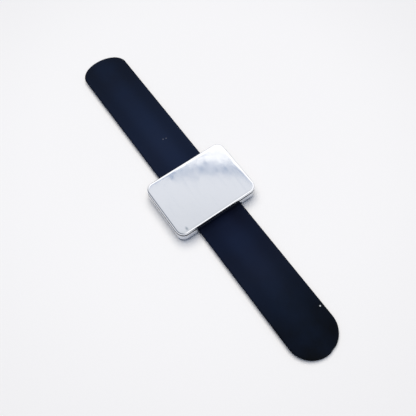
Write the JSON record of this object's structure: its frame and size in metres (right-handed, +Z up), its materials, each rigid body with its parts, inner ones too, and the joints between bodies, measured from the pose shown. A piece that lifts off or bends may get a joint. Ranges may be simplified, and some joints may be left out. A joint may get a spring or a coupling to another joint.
{
  "type": "magnetic wristband",
  "caption": "Slap wristband: a dark silicone sleeve over a spring strip runs through a low polished steel case, whose magnets hold small steel parts on its lid.",
  "frame": {"origin": "middle of the case's flat underside", "axes": "+X along the band towards its rounder end, +Y across the band along the case's long side, +Z up through the case's lid"},
  "size_m": [0.235, 0.054, 0.0104],
  "materials": {
    "case_steel": "finely polished stainless sheet with faint polishing streaks",
    "silicone": "matt blue-black silicone",
    "spring_steel": "blued rolled strip",
    "zinc_plated_steel": "bright zinc plate",
    "ferrite": "ground, unplated",
    "black_plastic": "fine moulded texture",
    "adhesive": "soft acrylic sheet"
  },
  "bodies": {
    "case": {"lower_shell": "case_steel", "lid": "case_steel", "case_screw_1": "zinc_plated_steel", "case_screw_2": "zinc_plated_steel", "case_screw_3": "zinc_plated_steel", "case_screw_4": "zinc_plated_steel", "carrier": "black_plastic", "keeper_plate": "zinc_plated_steel", "magnet_front": "ferrite", "magnet_back": "ferrite", "adhesive_sheet": "adhesive", "sleeve_center": "silicone", "spring_center": "spring_steel"},
    "right_link_1": {"sleeve_right_1": "silicone", "spring_right_1": "spring_steel"},
    "right_link_2": {"sleeve_right_2": "silicone", "spring_right_2": "spring_steel"},
    "right_link_3": {"sleeve_right_3": "silicone", "spring_right_3": "spring_steel"},
    "right_link_4": {"sleeve_right_4": "silicone", "spring_right_4": "spring_steel"},
    "right_link_5": {"sleeve_right_5": "silicone", "spring_right_5": "spring_steel"},
    "right_link_6": {"sleeve_right_6": "silicone", "spring_right_6": "spring_steel"},
    "right_link_7": {"sleeve_right_7": "silicone", "spring_right_7": "spring_steel"},
    "right_link_8": {"sleeve_right_8": "silicone", "spring_right_8": "spring_steel"},
    "left_link_1": {"sleeve_left_1": "silicone", "spring_left_1": "spring_steel"},
    "left_link_2": {"sleeve_left_2": "silicone", "spring_left_2": "spring_steel"},
    "left_link_3": {"sleeve_left_3": "silicone", "spring_left_3": "spring_steel"},
    "left_link_4": {"sleeve_left_4": "silicone", "spring_left_4": "spring_steel"},
    "left_link_5": {"sleeve_left_5": "silicone", "spring_left_5": "spring_steel"},
    "left_link_6": {"sleeve_left_6": "silicone", "spring_left_6": "spring_steel"},
    "left_link_7": {"sleeve_left_7": "silicone", "spring_left_7": "spring_steel"},
    "left_link_8": {"sleeve_left_8": "silicone", "spring_left_8": "spring_steel"}
  },
  "joints": [
    {"name": "right_bend_1", "type": "hinge", "parent": "case", "child": "right_link_1", "pos_m": [0.021, 0, 0.0011], "axis": [0, 1, 0], "range_deg": [0, 36]},
    {"name": "right_bend_2", "type": "hinge", "parent": "right_link_1", "child": "right_link_2", "pos_m": [0.03199, 0, 0.0011], "axis": [0, 1, 0], "range_deg": [0, 44]},
    {"name": "right_bend_3", "type": "hinge", "parent": "right_link_2", "child": "right_link_3", "pos_m": [0.04297, 0, 0.0011], "axis": [0, 1, 0], "range_deg": [0, 20]},
    {"name": "right_bend_4", "type": "hinge", "parent": "right_link_3", "child": "right_link_4", "pos_m": [0.05396, 0, 0.0011], "axis": [0, 1, 0], "range_deg": [0, 26]},
    {"name": "right_bend_5", "type": "hinge", "parent": "right_link_4", "child": "right_link_5", "pos_m": [0.06494, 0, 0.0011], "axis": [0, 1, 0], "range_deg": [0, 26]},
    {"name": "right_bend_6", "type": "hinge", "parent": "right_link_5", "child": "right_link_6", "pos_m": [0.07593, 0, 0.0011], "axis": [0, 1, 0], "range_deg": [0, 24]},
    {"name": "right_bend_7", "type": "hinge", "parent": "right_link_6", "child": "right_link_7", "pos_m": [0.08691, 0, 0.0011], "axis": [0, 1, 0], "range_deg": [0, 10]},
    {"name": "right_bend_8", "type": "hinge", "parent": "right_link_7", "child": "right_link_8", "pos_m": [0.0979, 0, 0.0011], "axis": [0, 1, 0], "range_deg": [0, 12]},
    {"name": "left_bend_1", "type": "hinge", "parent": "case", "child": "left_link_1", "pos_m": [-0.021, 0, 0.0011], "axis": [0, -1, 0], "range_deg": [0, 34]},
    {"name": "left_bend_2", "type": "hinge", "parent": "left_link_1", "child": "left_link_2", "pos_m": [-0.0329, 0, 0.0011], "axis": [0, -1, 0], "range_deg": [0, 38]},
    {"name": "left_bend_3", "type": "hinge", "parent": "left_link_2", "child": "left_link_3", "pos_m": [-0.0448, 0, 0.0011], "axis": [0, -1, 0], "range_deg": [0, 20]},
    {"name": "left_bend_4", "type": "hinge", "parent": "left_link_3", "child": "left_link_4", "pos_m": [-0.0567, 0, 0.0011], "axis": [0, -1, 0], "range_deg": [0, 22]},
    {"name": "left_bend_5", "type": "hinge", "parent": "left_link_4", "child": "left_link_5", "pos_m": [-0.0686, 0, 0.0011], "axis": [0, -1, 0], "range_deg": [0, 26]},
    {"name": "left_bend_6", "type": "hinge", "parent": "left_link_5", "child": "left_link_6", "pos_m": [-0.0805, 0, 0.0011], "axis": [0, -1, 0], "range_deg": [0, 24]},
    {"name": "left_bend_7", "type": "hinge", "parent": "left_link_6", "child": "left_link_7", "pos_m": [-0.0924, 0, 0.0011], "axis": [0, -1, 0], "range_deg": [0, 8]},
    {"name": "left_bend_8", "type": "hinge", "parent": "left_link_7", "child": "left_link_8", "pos_m": [-0.1043, 0, 0.0011], "axis": [0, -1, 0], "range_deg": [0, 4]}
  ],
  "couplings": [
    {"joint": "right_bend_2", "follows": "right_bend_1", "ratio": 1.2222},
    {"joint": "right_bend_3", "follows": "right_bend_1", "ratio": 0.5555},
    {"joint": "right_bend_4", "follows": "right_bend_1", "ratio": 0.7222},
    {"joint": "right_bend_5", "follows": "right_bend_1", "ratio": 0.7222},
    {"joint": "right_bend_6", "follows": "right_bend_1", "ratio": 0.6666},
    {"joint": "right_bend_7", "follows": "right_bend_1", "ratio": 0.2777},
    {"joint": "right_bend_8", "follows": "right_bend_1", "ratio": 0.3333},
    {"joint": "left_bend_2", "follows": "left_bend_1", "ratio": 1.1176},
    {"joint": "left_bend_3", "follows": "left_bend_1", "ratio": 0.5882},
    {"joint": "left_bend_4", "follows": "left_bend_1", "ratio": 0.647},
    {"joint": "left_bend_5", "follows": "left_bend_1", "ratio": 0.7647},
    {"joint": "left_bend_6", "follows": "left_bend_1", "ratio": 0.7058},
    {"joint": "left_bend_7", "follows": "left_bend_1", "ratio": 0.2352},
    {"joint": "left_bend_8", "follows": "left_bend_1", "ratio": 0.1176}
  ]
}
